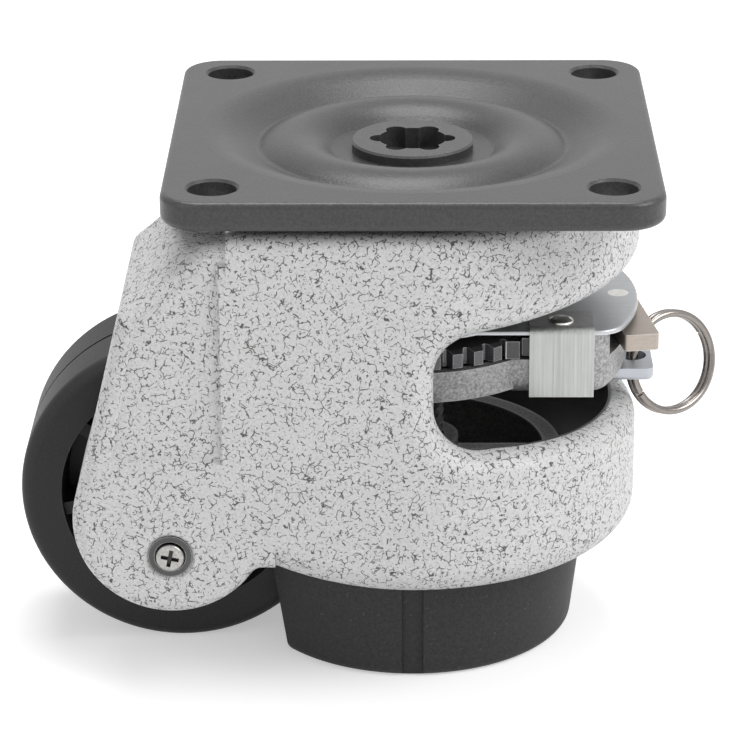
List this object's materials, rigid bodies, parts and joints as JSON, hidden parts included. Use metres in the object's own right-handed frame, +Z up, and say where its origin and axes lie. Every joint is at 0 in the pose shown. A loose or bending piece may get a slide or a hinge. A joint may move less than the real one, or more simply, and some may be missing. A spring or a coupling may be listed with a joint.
{
  "type": "levelling castor",
  "caption": "Swivel castor with a screw-down levelling foot beside the wheel, worked by a reversible ratchet lever through a side window, under a square mounting plate.",
  "frame": {"origin": "centre of the four-hole pattern on the plate's mounting face, on the swivel axis", "axes": "+Z up out of the mounting face; +X from the swivel axis towards the ratchet lever; the wheel is towards -X"},
  "size_m": [0.1086, 0.073, 0.0807],
  "materials": {
    "plate_coat": "satin dark grey coating",
    "body_paint": "light grey paint with fine dark crackle",
    "bright_steel": "plain ground steel",
    "ball_steel": "polished bearing steel",
    "brass_sheet": "plain sheet",
    "bronze": "sintered bronze",
    "nylon": "moulded, fine grain",
    "zinc_sheet": "zinc plated, brushed",
    "ring_nickel": "nickel plated wire",
    "lever_steel": "oiled plain steel",
    "gear_steel": "dark, teeth edges worn bright",
    "cast_alloy": "as cast, grainy",
    "core_black": "black coated casting",
    "rubber_black": "moulded, matte",
    "screw_steel": "bright zinc plated",
    "thread_steel": "phosphated"
  },
  "bodies": {
    "plate": {"top_plate": "plate_coat", "king_bolt": "plate_coat", "king_washer": "bright_steel", "king_nut": "thread_steel"},
    "bearing": {"race_balls": "ball_steel", "ball_cage": "brass_sheet"},
    "fork": {"lower_race": "bright_steel", "swivel_bush": "bronze", "housing": "body_paint", "thrust_plate": "bright_steel", "gear_washer": "bronze", "gear_clip": "bright_steel", "axle": "thread_steel", "axle_screws": "screw_steel"},
    "wheel_body": {"wheel": "nylon", "wheel_bush": "bronze", "hub_washers": "bright_steel"},
    "gear": {"ratchet_gear": "gear_steel"},
    "foot": {"spindle": "thread_steel", "foot_core": "core_black", "foot_pad": "rubber_black", "foot_screw": "thread_steel"},
    "arm": {"ratchet_arm": "cast_alloy", "arm_cover": "zinc_sheet", "arm_clips": "zinc_sheet", "pawl_rivets": "screw_steel", "lever_pin": "screw_steel", "pawl_springs": "bright_steel", "ring_bracket": "zinc_sheet", "bracket_rivet": "screw_steel"},
    "lever": {"reversing_lever": "lever_steel"},
    "pawl_a": {"pawl_front": "gear_steel"},
    "pawl_b": {"pawl_back": "gear_steel"},
    "ring": {"split_ring": "ring_nickel"}
  },
  "joints": [
    {"name": "swivel", "type": "hinge", "parent": "plate", "child": "fork", "pos_m": [0, 0, 0], "axis": [0, 0, 1], "continuous": true},
    {"name": "bearing_orbit", "type": "hinge", "parent": "plate", "child": "bearing", "pos_m": [0, 0, 0], "axis": [0, 0, 1], "continuous": true},
    {"name": "wheel_spin", "type": "hinge", "parent": "fork", "child": "wheel_body", "pos_m": [-0.0361, 0, -0.056], "axis": [0, 1, 0], "continuous": true},
    {"name": "gear_turn", "type": "hinge", "parent": "fork", "child": "gear", "pos_m": [0, 0, -0.03], "axis": [0, 0, 1], "range_deg": [-963, 1923]},
    {"name": "foot_travel", "type": "slide", "parent": "fork", "child": "foot", "axis": [0, 0, -1], "range_m": [-0.00401, 0.00801]},
    {"name": "arm_swing", "type": "hinge", "parent": "fork", "child": "arm", "pos_m": [0, 0, -0.03], "axis": [0, 0, 1], "range_deg": [-45, 45]},
    {"name": "lever_turn", "type": "hinge", "parent": "arm", "child": "lever", "pos_m": [0.0318, 0, -0.03], "axis": [0, 0, 1], "range_deg": [-18, 0]},
    {"name": "pawl_front_turn", "type": "hinge", "parent": "arm", "child": "pawl_a", "pos_m": [0.0224, -0.0139, -0.03], "axis": [0, 0, 1], "range_deg": [-0.2, 8.3]},
    {"name": "pawl_back_turn", "type": "hinge", "parent": "arm", "child": "pawl_b", "pos_m": [0.0224, 0.0139, -0.03], "axis": [0, 0, 1], "range_deg": [-0.2, 8.3]},
    {"name": "ring_swing", "type": "hinge", "parent": "arm", "child": "ring", "pos_m": [0.0341, 0, -0.038], "axis": [0, 0, 1], "range_deg": [-25, 15]}
  ],
  "couplings": [
    {"joint": "bearing_orbit", "follows": "swivel", "ratio": 0.5},
    {"joint": "gear_turn", "follows": "foot_travel", "rad_per_m": 4188.8},
    {"joint": "pawl_front_turn", "follows": "lever_turn", "ratio": -0.45},
    {"joint": "pawl_back_turn", "follows": "lever_turn", "ratio": -0.45}
  ]
}
